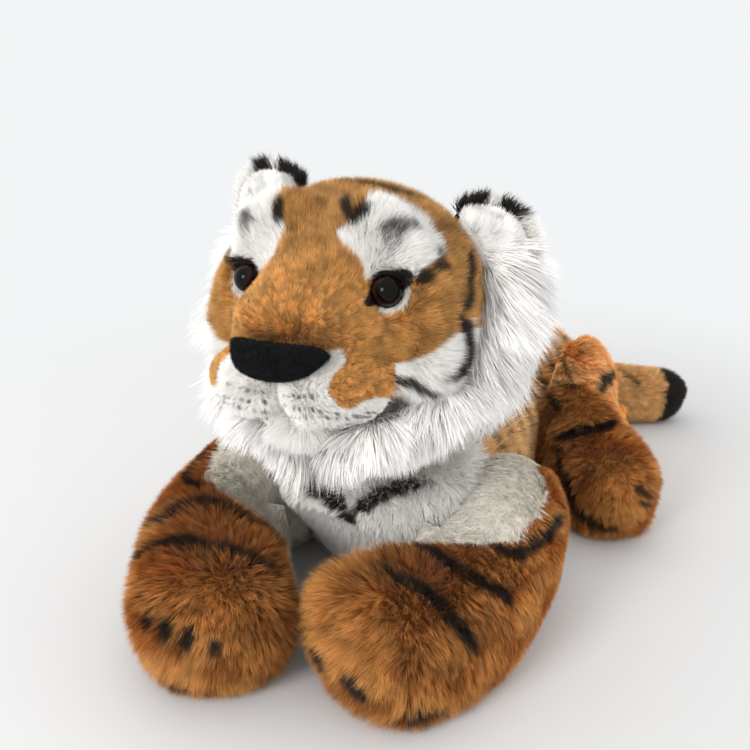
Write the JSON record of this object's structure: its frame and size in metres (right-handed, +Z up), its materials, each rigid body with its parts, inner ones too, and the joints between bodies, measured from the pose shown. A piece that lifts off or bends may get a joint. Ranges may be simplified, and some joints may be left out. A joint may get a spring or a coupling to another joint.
{
  "type": "plush tiger",
  "caption": "Lying plush tiger with a stuffed round head, white ruff, forward paws, splayed hind legs and a tail, all turning at their seams.",
  "frame": {"origin": "on the floor, on the flat of the belly panel under the chest", "axes": "+Z up, -Y the way the tiger faces, +X its left side"},
  "size_m": [0.249, 0.4549, 0.2309],
  "materials": {
    "orange_pile": "cut pile, 8 to 12 mm",
    "white_pile": "cut pile, 8 to 12 mm",
    "long_white_pile": "long straight pile, 25 to 40 mm",
    "black_pile": "cut pile, 6 to 8 mm",
    "nose_velour": "short velour",
    "black_felt": "felt",
    "sole_fabric": "short pile",
    "eye_plastic": "polished, very dark brown",
    "washer_plastic": "moulded",
    "polyester_filling": "loose fibre"
  },
  "bodies": {
    "torso": {"torso_back_cover": "orange_pile", "chest_panel": "white_pile", "belly_panel": "white_pile", "torso_filling": "polyester_filling"},
    "neck": {"neck_core": "polyester_filling"},
    "head": {"head_cover": "orange_pile", "head_filling": "polyester_filling", "muzzle_left": "white_pile", "muzzle_right": "white_pile", "chin": "white_pile", "nose": "nose_velour", "eye_left": "eye_plastic", "eye_right": "eye_plastic", "eye_rim_left": "black_felt", "eye_rim_right": "black_felt", "eye_washer_left": "washer_plastic", "eye_washer_right": "washer_plastic", "ear_back_left": "black_pile", "ear_back_right": "black_pile", "ear_lining_left": "white_pile", "ear_lining_right": "white_pile", "ruff_left": "long_white_pile", "ruff_right": "long_white_pile"},
    "front_leg_left": {"front_leg_left_cover": "orange_pile", "front_leg_left_filling": "polyester_filling", "front_leg_left_sole": "sole_fabric"},
    "front_leg_right": {"front_leg_right_cover": "orange_pile", "front_leg_right_filling": "polyester_filling", "front_leg_right_sole": "sole_fabric"},
    "hind_leg_left": {"hind_leg_left_cover": "orange_pile", "hind_leg_left_filling": "polyester_filling", "hind_leg_left_sole": "sole_fabric"},
    "hind_leg_right": {"hind_leg_right_cover": "orange_pile", "hind_leg_right_filling": "polyester_filling", "hind_leg_right_sole": "sole_fabric"},
    "tail": {"tail_cover": "orange_pile", "tail_filling": "polyester_filling", "tail_tip": "black_pile"}
  },
  "joints": [
    {"name": "neck_turn", "type": "hinge", "parent": "torso", "child": "neck", "pos_m": [-0.003, -0.05, 0.112], "axis": [0, 0, 1], "range_deg": [-20, 20], "stiffness_Nm_per_rad": 0.3},
    {"name": "head_nod", "type": "hinge", "parent": "neck", "child": "head", "pos_m": [-0.003, -0.05, 0.112], "axis": [1, 0, 0], "range_deg": [-12, 6], "stiffness_Nm_per_rad": 1.5},
    {"name": "front_leg_left_swing", "type": "hinge", "parent": "torso", "child": "front_leg_left", "pos_m": [0.066, -0.048, 0.042], "axis": [0, 0, 1], "range_deg": [0, 30], "stiffness_Nm_per_rad": 0.05},
    {"name": "front_leg_right_swing", "type": "hinge", "parent": "torso", "child": "front_leg_right", "pos_m": [-0.066, -0.048, 0.042], "axis": [0, 0, 1], "range_deg": [-30, 0], "stiffness_Nm_per_rad": 0.05},
    {"name": "hind_leg_left_lift", "type": "hinge", "parent": "torso", "child": "hind_leg_left", "pos_m": [0.05724, 0.10823, 0.051], "axis": [-0.994, 0.1097, 0], "range_deg": [0, 40], "stiffness_Nm_per_rad": 0.05},
    {"name": "hind_leg_right_lift", "type": "hinge", "parent": "torso", "child": "hind_leg_right", "pos_m": [-0.02924, 0.11777, 0.051], "axis": [-0.994, 0.1097, 0], "range_deg": [0, 40], "stiffness_Nm_per_rad": 0.05},
    {"name": "tail_swing", "type": "hinge", "parent": "torso", "child": "tail", "pos_m": [0.022, 0.173, 0.034], "axis": [0, 0, 1], "range_deg": [0, 50], "stiffness_Nm_per_rad": 0.02}
  ]
}
